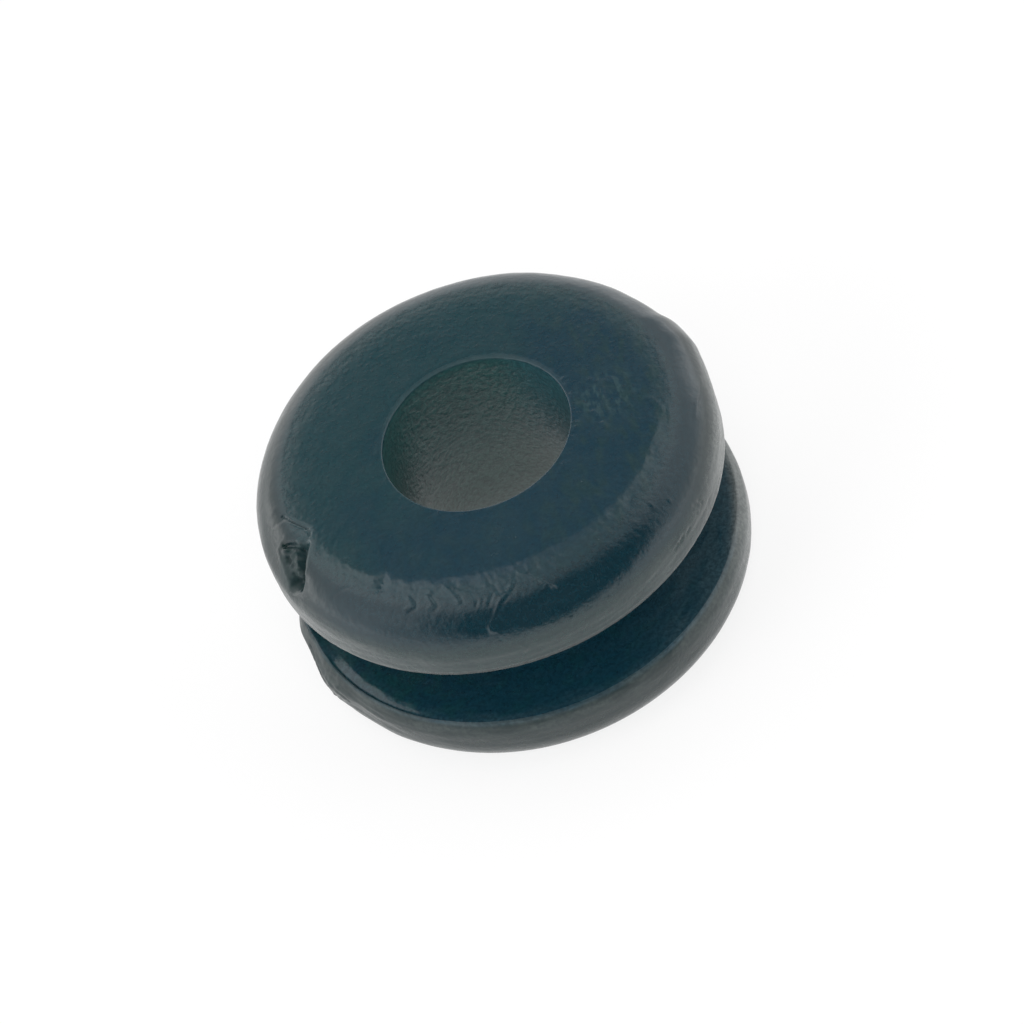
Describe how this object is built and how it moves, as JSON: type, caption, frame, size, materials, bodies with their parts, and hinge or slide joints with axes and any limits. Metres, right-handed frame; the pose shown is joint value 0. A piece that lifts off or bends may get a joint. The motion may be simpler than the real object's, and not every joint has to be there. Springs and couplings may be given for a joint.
{
  "type": "rubber grommet",
  "caption": "Round rubber cable grommet: a flanged ring with a groove that seats in a panel hole and a bore that a cable passes through.",
  "frame": {"origin": "on the bore's axis, at the lower flange's flat face, which it rests on", "axes": "+Z along the bore's axis, from the lower flange to the upper flange with the torn gate; the gate is toward -X"},
  "size_m": [0.012, 0.012, 0.006],
  "materials": {
    "rubber": "satin dark blue-green black rubber, lightly scuffed"
  },
  "bodies": {
    "root": {"grommet": "rubber"}
  },
  "joints": []
}
